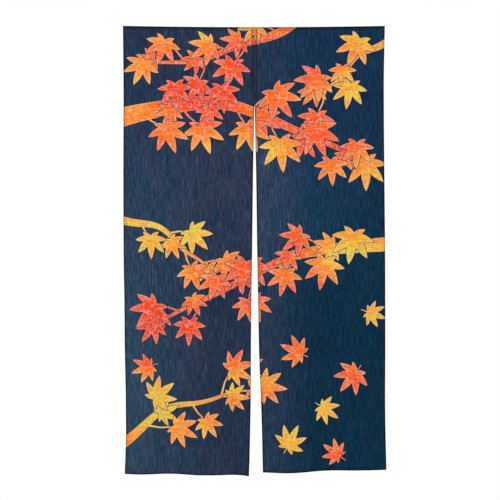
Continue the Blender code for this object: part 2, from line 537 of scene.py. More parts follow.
# %% Lay out the boughs and leaves
SEED = 11
Bough = namedtuple("Bough", "x t to_x to_t bow thick thin step leaf hang")
BOUGHS = (
    Bough(-0.460, 0.310, 0.340, 0.450, -0.130, 0.066, 0.013, 0.076, 0.094, 0.72),
    Bough(0.460, 0.730, -0.300, 0.985, -0.080, 0.050, 0.009, 0.078, 0.088, 0.66),
    Bough(-0.460, 1.400, -0.030, 1.215, -0.055, 0.036, 0.007, 0.082, 0.080, 0.35),
    Bough(0.150, -0.030, -0.330, 0.130, 0.035, 0.036, 0.009, 0.076, 0.084, 0.55),
    Bough(0.460, 0.040, 0.230, 0.230, -0.025, 0.028, 0.008, 0.076, 0.084, 0.55),
    Bough(-0.460, 0.640, -0.160, 0.800, -0.045, 0.030, 0.008, 0.080, 0.080, 0.60),
)
Fallen = namedtuple("Fallen", "x t size turn")
FALLEN = (
    Fallen(0.140, 1.090, 0.074, 205),
    Fallen(0.330, 1.160, 0.082, 130),
    Fallen(0.215, 1.275, 0.066, 35),
    Fallen(0.090, 1.395, 0.076, 300),
    Fallen(0.265, 1.435, 0.062, 215),
    Fallen(-0.350, 1.130, 0.066, 160),
    Fallen(0.380, 0.960, 0.060, 20),
)
LeafLobe = namedtuple("LeafLobe", "turn length half_width")
LEAF_LOBES = (
    LeafLobe(0, 1.00, 0.168),
    LeafLobe(41, 0.92, 0.160),
    LeafLobe(-41, 0.92, 0.160),
    LeafLobe(82, 0.74, 0.140),
    LeafLobe(-82, 0.74, 0.140),
    LeafLobe(126, 0.45, 0.105),
    LeafLobe(-126, 0.45, 0.105),
)
PALM = 0.15  # half-width of the web between the lobes, as a share of the leaf's size
PALM_REACH = (0.0, 0.17)
PALM_TAPER = 0.8  # of its half-width towards its end, and of its point beyond
NO_BARK = 0.002  # moves a band off BELLY by enough for the shader to give it no bark
BOUGH_POINTS = 26
BOUGH_SKEW = 0.35  # how much of the bow is lost towards the tip
WAVE = 8 * MM  # a bough's slight waves, and how fast they follow each other
WAVE_RATE = 11
THINNING = 0.8  # how a bough thins: 1 is evenly, less is sooner
JITTER = 0.3  # of a twig's place, as a share of the step between twigs
TIP_SHARE = 0.97  # a twig past this share goes on where the bough ends
LOOK_BACK = 0.02  # over which a bough's direction is read
TWIG_REACH = (0.7, 1.35)  # shares of the step
TIP_REACH = 0.55
TWIG_ANGLES = (38, 62)  # degrees from the bough
TWIG_BEND = 14
LEAF_SIZES = (0.82, 1.12)
LEAF_SWING = 0.35
SPUR_ANGLE = 80  # degrees from its twig
SPUR_REACH = 0.35
SPUR_SWING = 0.9
SPUR_LEAF = 0.8
WOOD_TONES = (0.3, 0.7)
TWIG = (3.6 * MM, 2.6 * MM, 1.8 * MM)  # half-widths from root to tip
STALK = (1.8 * MM, 1.2 * MM)
STALK_LENGTH = 30 * MM


def step_from(x, t, angle, length):
    return x + math.cos(angle) * length, t + math.sin(angle) * length


def maple_leaf(x, t, angle, size, tone):
    """A leaf whose base is at x, t and whose middle lobe points along angle: the palm, then its lobes."""
    palm = [step_from(x, t, angle, share * size) for share in PALM_REACH]
    halves = [PALM * size, PALM * size * PALM_TAPER]
    lobes = [BandStencil(palm, halves, tone, taper=PALM_TAPER, grain=NO_BARK)]
    for lobe in LEAF_LOBES:
        way = angle + math.radians(lobe.turn)
        lobes.append(LobeStencil(x, t, way, lobe.length * size, lobe.half_width * size, tone))
    return lobes


def bough_point(bough, s):
    """A point of a bough's line, s from 0 at its root to 1 at its tip."""
    dx, dt = bough.to_x - bough.x, bough.to_t - bough.t
    length = math.hypot(dx, dt)
    side = math.copysign(1, dx) / length
    lift = bough.bow * 4 * s * (1 - s) * (1 - BOUGH_SKEW * s) + WAVE * math.sin(s * WAVE_RATE)
    return bough.x + dx * s - dt * side * lift, bough.t + dt * s + dx * side * lift


def grow(bough, dice):
    """A bough with its twigs and leaves: (leaves, twigs, the bough)."""
    leaves, twigs = [], []
    shares = [i / BOUGH_POINTS for i in range(BOUGH_POINTS + 1)]
    line = [bough_point(bough, s) for s in shares]
    halves = [(bough.thick + (bough.thin - bough.thick) * s**THINNING) / 2 for s in shares]
    wood = BandStencil(line, halves, dice.uniform(*WOOD_TONES))
    count = int(sum(math.dist(p, q) for p, q in zip(line, line[1:])) / bough.step)
    for k in range(1, count + 1):
        s = min((k + JITTER * dice.uniform(-1, 1)) / count, 1.0)
        at_tip = s > TIP_SHARE
        x, t = bough_point(bough, s)
        x_before, t_before = bough_point(bough, s - LOOK_BACK)
        along = math.atan2(t - t_before, x - x_before)
        side = 1 if k % 2 else -1
        reach = bough.step * dice.uniform(*TWIG_REACH) * (TIP_REACH if at_tip else 1)
        out = along if at_tip else along + side * math.radians(dice.uniform(*TWIG_ANGLES))
        bend = out - side * math.radians(TWIG_BEND)
        middle = step_from(x, t, out, reach / 2)
        end = step_from(*middle, bend, reach / 2)
        twigs.append(BandStencil([(x, t), middle, end], TWIG, wood.tone))
        size = bough.leaf * dice.uniform(*LEAF_SIZES)
        turn = math.atan2(
            math.sin(bend) * (1 - bough.hang) + bough.hang,
            math.cos(bend) * (1 - bough.hang) + dice.uniform(-LEAF_SWING, LEAF_SWING),
        )
        leaves += maple_leaf(*end, turn, size, dice.random())
        if k % 2 == 0:
            back = out - side * math.radians(SPUR_ANGLE)
            end = step_from(x, t, back, reach * SPUR_REACH)
            twigs.append(BandStencil([(x, t), end], TWIG[1:], wood.tone))
            swung = turn + dice.uniform(-SPUR_SWING, SPUR_SWING)
            leaves += maple_leaf(*end, swung, size * SPUR_LEAF, dice.random())
    return leaves, twigs, wood


def lay_out():
    """All the stencils, the top one first: leaves, then boughs, then the twigs that grow from behind them."""
    dice = random.Random(SEED)
    leaves, twigs, boughs = [], [], []
    for bough in BOUGHS:
        new_leaves, new_twigs, wood = grow(bough, dice)
        leaves += new_leaves
        twigs += new_twigs
        boughs.append(wood)
    for fallen in FALLEN:
        turn = math.radians(fallen.turn)
        tone = dice.random()
        leaves += maple_leaf(fallen.x, fallen.t, turn, fallen.size, tone)
        stalk_end = step_from(fallen.x, fallen.t, turn, -STALK_LENGTH)
        twigs.append(BandStencil([(fallen.x, fallen.t), stalk_end], STALK, tone))
    return leaves + boughs + twigs


stencils = lay_out()
print(len(stencils), "stencils in the print")

# %% [markdown]
# Each face of the cloth now gets the stencils that touch it, the top ones first, up to six. The numbers are
# stored on the face's own corners and not on shared points: within a face they belong to one stencil, so
# they can be blended from corner to corner without smearing one leaf into the next.

# %% Store the stencils on the cloth
LAYERS = 6
NOTHING = (BELLY, 9.0, 1.0)  # a place far to the side of a stencil
MISS = 2.9 * MM  # a tip can lie this far from all corners of a face that it touches
UNPRINTED = -1.0  # depth where no stencil has come yet: far outside


def store_stencils(mesh, flat):
    """Writes each corner's place on up to LAYERS stencils, and their tones."""
    corners = np.empty(len(mesh.loops), np.int32)
    mesh.loops.foreach_get("vertex_index", corners)
    quads = flat[corners].reshape(-1, 4, 2)
    low, high = quads.min(axis=1), quads.max(axis=1)
    places = np.tile(np.array(NOTHING, np.float32), (LAYERS, len(quads), 4, 1))
    tones = np.zeros((LAYERS, len(quads), 4), np.float32)
    used = np.zeros(len(quads), int)
    depths = np.full((len(quads), 4), UNPRINTED)
    missed = 0
    for stencil in stencils:
        reach = stencil.most + RIM + MISS
        first, last = stencil.points.min(axis=0) - reach, stencil.points.max(axis=0) + reach
        open_still = (depths < RIM).any(axis=1)
        near = np.flatnonzero(open_still & (high > first).all(axis=1) & (low < last).all(axis=1))
        if not len(near):
            continue
        along, aside, half_width = stencil.local(quads[near, :, 0], quads[near, :, 1])
        inside = (outline(along) - np.abs(aside)) * half_width
        touched = (inside > -RIM - MISS).any(axis=1)
        missed += int((touched & (used[near] >= LAYERS)).sum())
        fits = touched & (used[near] < LAYERS)
        faces = near[fits]
        places[used[faces], faces] = np.stack([along, aside, half_width], axis=-1)[fits]
        tones[used[faces], faces] = stencil.tone
        used[faces] += 1
        depths[near] = np.maximum(depths[near], inside)
    for layer in range(LAYERS):
        place = mesh.attributes.new(f"stencil_{layer + 1}", "FLOAT_VECTOR", "CORNER")
        place.data.foreach_set("vector", places[layer].ravel())
        tone = mesh.attributes.new(f"tone_{layer + 1}", "FLOAT", "CORNER")
        tone.data.foreach_set("value", tones[layer].ravel())
    print(mesh.name, "faces with print:", int((used > 0).sum()), "stencils left out:", missed)


def store_flat(mesh, flat, panel):
    """Writes each point's place on the flat cloth, and how far it is from the finished edge."""
    across = flat[:, 0] - panel.flat_left
    place = np.concatenate([flat, np.zeros((len(flat), 1))], axis=1).astype(np.float32)
    mesh.attributes.new("flat_place", "FLOAT_VECTOR", "POINT").data.foreach_set("vector", place.ravel())
    to_edge = np.abs(np.minimum.reduce([across, PANEL_WIDTH - across, flat[:, 1], DROP - flat[:, 1]]))
    mesh.attributes.new("from_edge", "FLOAT", "POINT").data.foreach_set("value", to_edge.astype(np.float32))


for panel in PANELS:
    store_stencils(meshes[panel.name], flats[panel.name])
    store_flat(meshes[panel.name], flats[panel.name], panel)

# %% [markdown]
# ## Node helpers
#
# Materials are long chains of small nodes. Small helpers keep them readable. One places a node and feeds it,
# and the others make what comes up most: arithmetic, a change of range, a noise stretched over the cloth, a
# mix of colours. Colours are named as they look on a screen, from 0 to 255, and are made linear for the
# shader.

# %% Make the helpers


def screen(red, green, blue):
    """A colour as it looks on a screen, made linear."""
    shares = [channel / 255 for channel in (red, green, blue)]
    return (*[s / 12.92 if s <= 0.04045 else ((s + 0.055) / 1.055) ** 2.4 for s in shares], 1)


def put(tree, kind, feeds=None, **settings):
    """Adds a node, sets it, and feeds its inputs with values or with other nodes' outputs."""
    node = tree.nodes.new(kind)
    for name, value in settings.items():
        setattr(node, name, value)
    for socket, value in (feeds or {}).items():
        if isinstance(value, bpy.types.NodeSocket):
            tree.links.new(value, node.inputs[socket])
        else:
            node.inputs[socket].default_value = value
    return node


def calc(tree, operation, *values):
    return put(tree, "ShaderNodeMath", dict(enumerate(values)), operation=operation).outputs[0]


def times(tree, first, *others):
    """Values multiplied, one after the other."""
    for other in others:
        first = calc(tree, "MULTIPLY", first, other)
    return first


def remainder(tree, share):
    """What a share leaves of 1."""
    return calc(tree, "SUBTRACT", 1.0, share)


def spread(tree, value, low, high, to_low=0.0, to_high=1.0):
    """Value moved from one range to another, and kept inside it."""
    feeds = {"Value": value, "From Min": low, "From Max": high, "To Min": to_low, "To Max": to_high}
    return put(tree, "ShaderNodeMapRange", feeds).outputs["Result"]


def scaled(tree, vector, across, down, offset=0.0):
    """A place on the flat cloth, stretched for a texture."""
    feeds = {"Vector": vector, "Scale": (across, down, 1), "Location": (offset, offset, offset)}
    return put(tree, "ShaderNodeMapping", feeds).outputs["Vector"]


def noise(tree, vector, detail=2.0, roughness=0.5):
    feeds = {"Vector": vector, "Scale": 1.0, "Detail": detail, "Roughness": roughness}
    return put(tree, "ShaderNodeTexNoise", feeds).outputs["Fac"]


Mottle = namedtuple("Mottle", "across down offset detail low high")  # changes a metre, then the noise's range


def mottled(tree, place, mottle, to_low=0.0, to_high=1.0):
    """A noise stretched over the cloth, with its range spread from one value to another."""
    stretched = scaled(tree, place, mottle.across, mottle.down, mottle.offset)
    return spread(tree, noise(tree, stretched, mottle.detail), mottle.low, mottle.high, to_low, to_high)


def mixed(tree, factor, first, second, mode="MIX"):
    feeds = {0: factor, 6: first, 7: second}
    return put(tree, "ShaderNodeMix", feeds, data_type="RGBA", blend_type=mode).outputs[2]


def tinted_by(tree, colour, share, low, high):
    """A colour multiplied by another, which goes from low to high."""
    return mixed(tree, 1.0, colour, mixed(tree, share, low, high), "MULTIPLY")


def attribute(tree, name, output):
    """What is stored on the mesh under a name."""
    return put(tree, "ShaderNodeAttribute", attribute_name=name).outputs[output]


def new_group(name, takes, gives):
    """A node group with named inputs and outputs: (its tree, what comes in, where the results go)."""
    tree = bpy.data.node_groups.new(name, "ShaderNodeTree")
    for socket, (kind, value) in takes.items():
        made = tree.interface.new_socket(socket, in_out="INPUT", socket_type="NodeSocket" + kind)
        if value is not None:
            made.default_value = value
    for socket, kind in gives.items():
        tree.interface.new_socket(socket, in_out="OUTPUT", socket_type="NodeSocket" + kind)
    return tree, tree.nodes.new("NodeGroupInput").outputs, tree.nodes.new("NodeGroupOutput").inputs


def use_group(tree, group, **feeds):
    named = {name.replace("_", " "): value for name, value in feeds.items()}
    return put(tree, "ShaderNodeGroup", named, node_tree=group).outputs


print("navy, made linear:", [round(channel, 3) for channel in screen(31, 45, 67)[:3]])

# %% [markdown]
# ## Weave
#
# Slub yarn is thick and thin by turns. With slub in the warp, the cloth shows short upright streaks, here
# about 4 mm wide and 20 mm long, with finer ones between. Under them lie the threads themselves, which cross
# over and under. An even woven bump alone would look like a machine cloth, so the streaks lead.

# %% Weave group
Yarn = namedtuple("Yarn", "across down offset detail roughness share")  # changes a metre, noise, share
YARNS = (
    Yarn(across=310, down=28, offset=0.0, detail=2.0, roughness=0.6, share=0.42),  # slubs
    Yarn(across=420, down=10, offset=11.0, detail=1.0, roughness=0.5, share=0.24),  # long thick yarns
    Yarn(across=900, down=88, offset=3.0, detail=2.0, roughness=0.6, share=0.24),  # fine yarns
    Yarn(across=40, down=650, offset=7.0, detail=1.0, roughness=0.5, share=0.10),  # weft
)
OVER_AND_UNDER = 0.16  # the crossing threads' share of the height
weave_group, takes, gives = new_group(
    "slub weave",
    {"Flat Place": ("Vector", None), "Thread Pitch": ("Float", 1.2 * MM)},
    {"Streak": "Float", "Height": "Float"},
)
tree = weave_group
place = takes["Flat Place"]
streak = 0.0
for yarn in YARNS:
    stretched = scaled(tree, place, yarn.across, yarn.down, yarn.offset)
    threads = noise(tree, stretched, yarn.detail, yarn.roughness)
    streak = calc(tree, "MULTIPLY_ADD", threads, yarn.share, streak)
apart = put(tree, "ShaderNodeSeparateXYZ", {"Vector": place}).outputs
turns = []
for axis in (apart["X"], apart["Y"]):
    half_turns = calc(tree, "DIVIDE", times(tree, axis, math.pi), takes["Thread Pitch"])
    turns.append(calc(tree, "SINE", half_turns))
tree.links.new(streak, gives["Streak"])
tree.links.new(calc(tree, "MULTIPLY_ADD", times(tree, *turns), OVER_AND_UNDER, streak), gives["Height"])
print("weave group:", len(tree.nodes), "nodes")

# %% [markdown]
# ## Crackle
#
# Where the dye was brushed over paste, the paste cracked, and thin broken lines run through the colour. They
# are the borders of irregular cells, bent by a noise and wiped out here and there by another.

# %% Crackle group
WANDER = 90.0  # changes a metre in the noise that bends the borders
WANDER_REACH = (0.012, 0.012, 0.0)
WIPES = 45  # wiped places a metre
WIPE_EDGE = 0.08
crackle_group, takes, gives = new_group(
    "dye crackle",
    {
        "Flat Place": ("Vector", None),
        "Cell": ("Float", 14 * MM),
        "Line": ("Float", 0.8 * MM),
        "Gaps": ("Float", 0.45),
    },
    {"Line": "Float"},
)
tree = crackle_group
place = takes["Flat Place"]
wander = {"Vector": place, "Scale": WANDER, "Detail": 2.0}
bend = {0: put(tree, "ShaderNodeTexNoise", wander).outputs["Color"], 1: WANDER_REACH, 2: place}
bent = put(tree, "ShaderNodeVectorMath", bend, operation="MULTIPLY_ADD").outputs["Vector"]
cells = {"Vector": bent, "Scale": calc(tree, "DIVIDE", 1.0, takes["Cell"])}
borders = put(tree, "ShaderNodeTexVoronoi", cells, feature="DISTANCE_TO_EDGE").outputs["Distance"]
line = remainder(tree, spread(tree, times(tree, borders, takes["Cell"]), 0.0, takes["Line"]))
wipe = noise(tree, scaled(tree, place, WIPES, WIPES, 5.0), 1.0)
kept = spread(tree, wipe, takes["Gaps"], calc(tree, "ADD", takes["Gaps"], WIPE_EDGE))
tree.links.new(times(tree, line, kept), gives["Line"])
print("crackle group:", len(tree.nodes), "nodes")

# %% [markdown]
# ## Stencils in the shader
#
# The same outline as in the layout is worked out again here, at each point of the picture. The group lays one
# stencil under those above it. A stencil hides what is below it, and a thin rim of ground as well, which
# parts leaf from bough. Lobes with the same tone belong to one leaf, and run together without a rim.

# %% Stencil group
SOFT_EDGE = 0.3 * MM
SAME = 1e-5  # numbers closer than this are the same
VEIN = 0.9 * MM
VEIN_CORE = 0.5  # the share of a vein's width that is at full strength, and the same of a line in the bark
BARK_CORE = 0.4
VEIN_START = (0.02, 0.06)  # shares of a lobe's length over which its vein starts and ends
VEIN_END = (0.75, 0.9)
VEINED = (4 * MM, 6 * MM)  # half-widths from which a lobe has a vein, and a bough has bark
BARKED = (4 * MM, 7 * MM)
BARK_LINE = 0.38  # how far apart the lines along a bough are, as a share of its half-width
BARK_START = (0.1, 0.2)  # shares of the half-width over which the first line starts
TIP_START = 0.55  # share of a lobe's length where it begins to pale
BARE = {"Printed": 0.0, "Hidden": 0.0, "Top Tone": -1.0, "Vein": 0.0, "Tip": 0.0, "Depth": 0.0}
stencil_group, takes, gives = new_group(
    "stencil under others",
    {
        "Place": ("Vector", None),
        "Tone": ("Float", 0.0),
        **{name: ("Float", value) for name, value in BARE.items()},
    },
    dict.fromkeys(BARE, "Float"),
)
tree = stencil_group
apart = put(tree, "ShaderNodeSeparateXYZ", {"Vector": takes["Place"]}).outputs
u, v, half_width = apart["X"], apart["Y"], apart["Z"]
s = calc(tree, "POWER", put(tree, "ShaderNodeClamp", {"Value": u}).outputs[0], BELLY_POWER)
swell = calc(tree, "POWER", times(tree, s, 4.0, remainder(tree, s)), ROUNDNESS)
from_belly = calc(tree, "SUBTRACT", u, BELLY)
tooth = calc(tree, "FRACT", calc(tree, "MULTIPLY_ADD", from_belly, float(TEETH), TOOTH_START))
cut = times(tree, swell, remainder(tree, times(tree, tooth, TOOTH)))
past = calc(tree, "MAXIMUM", calc(tree, "SUBTRACT", u, 1.0), times(tree, u, -1.0))
past = calc(tree, "MAXIMUM", past, 0.0)
shape = calc(tree, "SUBTRACT", cut, times(tree, past, PAST_TIP))
aside = calc(tree, "ABSOLUTE", v)
depth = times(tree, calc(tree, "SUBTRACT", shape, aside), half_width)
inside = spread(tree, depth, -SOFT_EDGE / 2, SOFT_EDGE / 2)
cover = spread(tree, depth, -RIM - SOFT_EDGE / 2, -RIM + SOFT_EDGE / 2)
same = calc(tree, "COMPARE", takes["Tone"], takes["Top Tone"], SAME)
shown = times(tree, inside, calc(tree, "MAXIMUM", same, remainder(tree, takes["Hidden"])))
print("stencil's outline:", len(tree.nodes), "nodes")

# %% [markdown]
# A lobe has one vein down its middle and pales towards its tip. A bough has lines of bark along it instead,
# and a thin twig has neither. A stencil with BELLY all along is a band, so that number tells wood from leaf.

# %% Veins, bark and tips
is_band = calc(tree, "COMPARE", u, BELLY, SAME)
vein = remainder(tree, spread(tree, times(tree, aside, half_width), VEIN * VEIN_CORE, VEIN))
on_blade = times(tree, spread(tree, u, *VEIN_START), remainder(tree, spread(tree, u, *VEIN_END)))
on_blade = times(tree, on_blade, spread(tree, half_width, *VEINED))
vein = times(tree, vein, on_blade, remainder(tree, is_band))
bark = times(tree, calc(tree, "PINGPONG", aside, BARK_LINE), half_width)
bark = remainder(tree, spread(tree, bark, VEIN * BARK_CORE, VEIN))
is_bough = times(tree, is_band, spread(tree, half_width, *BARKED), spread(tree, aside, *BARK_START))
vein = calc(tree, "MAXIMUM", vein, times(tree, bark, is_bough))
tip = times(tree, spread(tree, u, TIP_START, 1.0), shown)
covered = calc(tree, "GREATER_THAN", takes["Hidden"], 0.5)
tones = {0: covered, 2: takes["Tone"], 3: takes["Top Tone"]}
top_tone = put(tree, "ShaderNodeMix", tones, data_type="FLOAT").outputs[0]
tree.links.new(top_tone, gives["Top Tone"])
vein, deep = times(tree, vein, shown), times(tree, depth, shown)
results = {"Printed": shown, "Hidden": cover, "Vein": vein, "Tip": tip, "Depth": deep}
for name, value in results.items():
    tree.links.new(calc(tree, "MAXIMUM", takes[name], value), gives[name])
print("stencil group:", len(tree.nodes), "nodes")

# %% [markdown]
# ## Dyes
#
# The warm colours run into each other down the cloth, from red to yellow and back, as a brush loaded with two
# dyes leaves them. A slow noise chooses the colour for the place, and each leaf shifts it a little by its own
# tone. Pale crackle runs through all of it, most strongly through the reds, and brown crackle crosses it.

# %% Warm dye group
WARM = (
    (0.00, screen(244, 66, 28)),
    (0.22, screen(252, 84, 30)),
    (0.46, screen(252, 116, 36)),
    (0.66, screen(250, 148, 46)),
    (0.82, screen(242, 190, 52)),
    (1.00, screen(220, 206, 70)),
)
REDS_END = (0.30, 0.62)  # places on the ramp over which red ends
PEACH = (screen(248, 204, 146), screen(246, 172, 152))  # on the yellows, and on the reds
ASH = (screen(228, 200, 152), screen(218, 158, 148))
BROWN = (screen(168, 92, 44), screen(160, 44, 44))
SLOW = Mottle(across=1.9, down=3.6, offset=2.4, detail=1.0, low=0.30, high=0.68)
OWN_SHARE = 0.34  # how far a leaf's own tone shifts its colour, and how far the brush does
BRUSH_SHARE = 0.5
BROWN_WEFTS = Mottle(across=26, down=300, offset=9.0, detail=1.0, low=0.56, high=0.66)
PALE_WEFTS = Mottle(across=30, down=260, offset=13.0, detail=1.0, low=0.57, high=0.68)
WEFT_SHARE = 0.46
PALE_CRACKS = {"Cell": 15 * MM, "Line": 1.7 * MM, "Gaps": 0.45}
BROWN_CRACKS = {"Cell": 21 * MM, "Line": 1.3 * MM, "Gaps": 0.46}
PALE_CRACK_SHARES = (0.40, 0.68)  # on the yellows, and on the reds
BROWN_CRACK_SHARE = 0.62
PALE_EDGE = (0.6 * MM, 3.4 * MM)  # depths over which the pale edge ends
PALE_TIP = 0.8
WORN = Mottle(across=70, down=70, offset=6.0, detail=2.0, low=0.35, high=0.6)
LEAST_WORN = 0.35
ASH_SHARE = 0.74
VEIN_SHARE = 0.5
warm_group, takes, gives = new_group(
    "warm dyes",
    {
        "Flat Place": ("Vector", None),
        "Tone": ("Float", 0.5),
        "Vein": ("Float", 0.0),
        "Tip": ("Float", 0.0),
        "Depth": ("Float", 0.0),
    },
    {"Color": "Color"},
)
tree = warm_group
place = takes["Flat Place"]
slow = mottled(tree, place, SLOW, 0.07, 1.07)
own = times(tree, calc(tree, "SUBTRACT", takes["Tone"], 0.5), OWN_SHARE)
brush = noise(tree, scaled(tree, place, 28, 60, 4.0))
brushed = times(tree, calc(tree, "SUBTRACT", brush, 0.5), BRUSH_SHARE)
hue = calc(tree, "ADD", calc(tree, "ADD", slow, own), brushed)
ramp = put(tree, "ShaderNodeValToRGB", {"Fac": hue})
stops = ramp.color_ramp.elements
while len(stops) < len(WARM):
    stops.new(0.5)
for stop, (where, colour) in zip(stops, WARM):
    stop.position = where
    stop.color = colour
reds = remainder(tree, spread(tree, hue, *REDS_END))
peach, ash, brown = [mixed(tree, reds, *pair) for pair in (PEACH, ASH, BROWN)]
print("colours from red to yellow:", len(stops))

# %% [markdown]
# Over the blend lie coarse weft threads that took more or less dye, the two crackles, edges and tips that
# pale where the paste let dye creep under, and brown veins. Each is one mix over the last, in the order in
# which it would lie on the cloth.

# %% Wear and crackle
colour = ramp.outputs["Color"]
colour = mixed(tree, times(tree, mottled(tree, place, BROWN_WEFTS), WEFT_SHARE), colour, brown)
colour = mixed(tree, times(tree, mottled(tree, place, PALE_WEFTS), WEFT_SHARE), colour, peach)
cracks = use_group(tree, crackle_group, Flat_Place=place, **PALE_CRACKS)["Line"]
colour = mixed(tree, times(tree, cracks, spread(tree, reds, 0.0, 1.0, *PALE_CRACK_SHARES)), colour, peach)
cracks = use_group(tree, crackle_group, Flat_Place=place, **BROWN_CRACKS)["Line"]
colour = mixed(tree, times(tree, cracks, BROWN_CRACK_SHARE), colour, brown)
edge_pale = remainder(tree, spread(tree, takes["Depth"], *PALE_EDGE))
paler = calc(tree, "MAXIMUM", edge_pale, times(tree, takes["Tip"], PALE_TIP))
worn = mottled(tree, place, WORN, LEAST_WORN, 1.0)
colour = mixed(tree, times(tree, paler, worn, ASH_SHARE), colour, ash)
colour = mixed(tree, times(tree, takes["Vein"], worn, VEIN_SHARE), colour, brown)
tree.links.new(colour, gives["Color"])
print("warm dye group:", len(tree.nodes), "nodes")

# %% [markdown]
# ## The dyed ground
#
# The ground is navy: slate at the left, deeper and greener at the right. Each panel has one colour by the
# slit, and one by its outer side that fades to another down the cloth. A broad place by the slit, about
# 0.6 m down and mostly on the right panel, is paler, as if dye had been washed out. Clouds and tints make the
# dye uneven, and streaks lighten and darken all of it along the slubs.

# %% Dye the ground
Ground = namedtuple("Ground", "inner outer low start end wash")  # start and end: shares of the panel's width
LEFT_DYE = Ground(inner=(31, 45, 67), outer=(28, 46, 70), low=(37, 60, 82), start=0.35, end=0.90, wash=0.35)
RIGHT_DYE = Ground(inner=(29, 48, 71), outer=(15, 42, 68), low=(5, 39, 60), start=0.05, end=0.45, wash=1.0)
GROUNDS = {"cloth_left": LEFT_DYE, "cloth_right": RIGHT_DYE}
LOW_FADE = (0.10 * DROP, 0.65 * DROP)  # over which the outer colour gives way to the low one
WASH = (1.75, 1.38, 1.30, 1)  # how much paler the washed place is
WASH_MIDDLE = 0.575  # metres below the top edge
WASH_REACH = 0.30
WASH_FULL = 0.4  # the share of that reach at full strength
WASH_FADE = (0.5 * PANEL_WIDTH, 0.95 * PANEL_WIDTH)  # distances from the slit over which it ends
CLOUDS = Mottle(across=12, down=7, offset=1.0, detail=2.0, low=0.3, high=0.7)
CLOUD_LOW = (0.78, 0.92, 0.96, 1)  # the ground's dye is uneven: greener here, more violet there
CLOUD_HIGH = (1.22, 1.07, 1.04, 1)
SHORT_TINT = (75, 22, 8.0)  # changes a metre across and down, then the noise's offset
LONG_TINT = (85, 4, 15.0)
LONG_TINT_SHARE = 0.6
SHORT_TINT_SHARE = 0.4
TINT_RANGE = (0.39, 0.61)
TINT_TEAL = (0.72, 1.04, 0.97, 1)
TINT_VIOLET = (1.32, 0.96, 1.03, 1)
STREAK_RANGE = (0.39, 0.70)
STREAK_POWER = 1.7
STREAK_DARK = (0.44, 0.55, 0.61, 1)
STREAK_LIGHT = (4.20, 3.30, 2.90, 1)


def ground_colour(tree, ground, place, from_slit, below_top, streak):
    """The navy of a panel's ground."""
    outwards = spread(tree, from_slit, ground.start * PANEL_WIDTH, ground.end * PANEL_WIDTH)
    outer = mixed(tree, spread(tree, below_top, *LOW_FADE), screen(*ground.outer), screen(*ground.low))
    navy = mixed(tree, outwards, screen(*ground.inner), outer)
    from_wash = calc(tree, "ABSOLUTE", calc(tree, "SUBTRACT", below_top, WASH_MIDDLE))
    washed = spread(tree, from_wash, WASH_FULL * WASH_REACH, WASH_REACH, ground.wash, 0.0)
    washed = times(tree, washed, spread(tree, from_slit, *WASH_FADE, 1.0, 0.0))
    navy = mixed(tree, washed, navy, WASH, "MULTIPLY")
    navy = tinted_by(tree, navy, mottled(tree, place, CLOUDS), CLOUD_LOW, CLOUD_HIGH)
    short_tint = noise(tree, scaled(tree, place, *SHORT_TINT), 1.0)
    long_tint = noise(tree, scaled(tree, place, *LONG_TINT), 1.0)
    short_part = times(tree, short_tint, SHORT_TINT_SHARE)
    tint = calc(tree, "MULTIPLY_ADD", long_tint, LONG_TINT_SHARE, short_part)
    navy = tinted_by(tree, navy, spread(tree, tint, *TINT_RANGE), TINT_TEAL, TINT_VIOLET)
    streaky = calc(tree, "POWER", spread(tree, streak, *STREAK_RANGE), STREAK_POWER)
    return tinted_by(tree, navy, streaky, STREAK_DARK, STREAK_LIGHT)


print("grounds:", {name: ground.inner for name, ground in GROUNDS.items()})

# %% [markdown]
# ## Painted shade at the edges and grooves
#
# Along the very edge the cloth is almost black: painted shade where the turned edge faces away from the
# light, with dye that the turned cloth has taken from both sides. Two grooves run beside the seam and one
# below the top edge, where stitches pull the cloth in, and their shade is painted too: real grooves this fine
# would need a far denser mesh, so they are drawn. The hems are a little darker than the single cloth.

# %% Paint shade on the edges and grooves
Groove = namedtuple("Groove", "at half share")  # its middle, half its width, and how much it darkens
# The darkening of the grooves is painted shade, drawn into the colour.
SEAM_GROOVE = Groove(at=6.5 * MM, half=3.4 * MM, share=0.45)  # from the seam
TOP_GROOVE = Groove(at=11 * MM, half=2.6 * MM, share=0.25)  # from the top edge
SEAM_FADE = 14 * MM  # over which the seam's grooves fade out above the slit
# The dark line along the edges is painted shade of the turned edge, together with dye taken from both sides.
SIDE_DARK = 5.0 * MM  # half the width of the dark line along the sides, and of that along the top
TOP_DARK = 7.5 * MM
EDGE_SHARES = (0.76, 0.40)  # how much these lines darken the ground, and the print
HEM_END = (10.0 * MM, 12.5 * MM)  # distances from the edge over which the hem's second layer ends
HEM_SHARE = 0.11
LINE_CORE = 0.5  # the share of a line's width that is at full strength


def line_at(tree, value, centre, half):
    """1 on a line, falling to 0 at half its width to either side."""
    away = calc(tree, "ABSOLUTE", calc(tree, "SUBTRACT", value, centre))
    return remainder(tree, spread(tree, away, half * LINE_CORE, half))


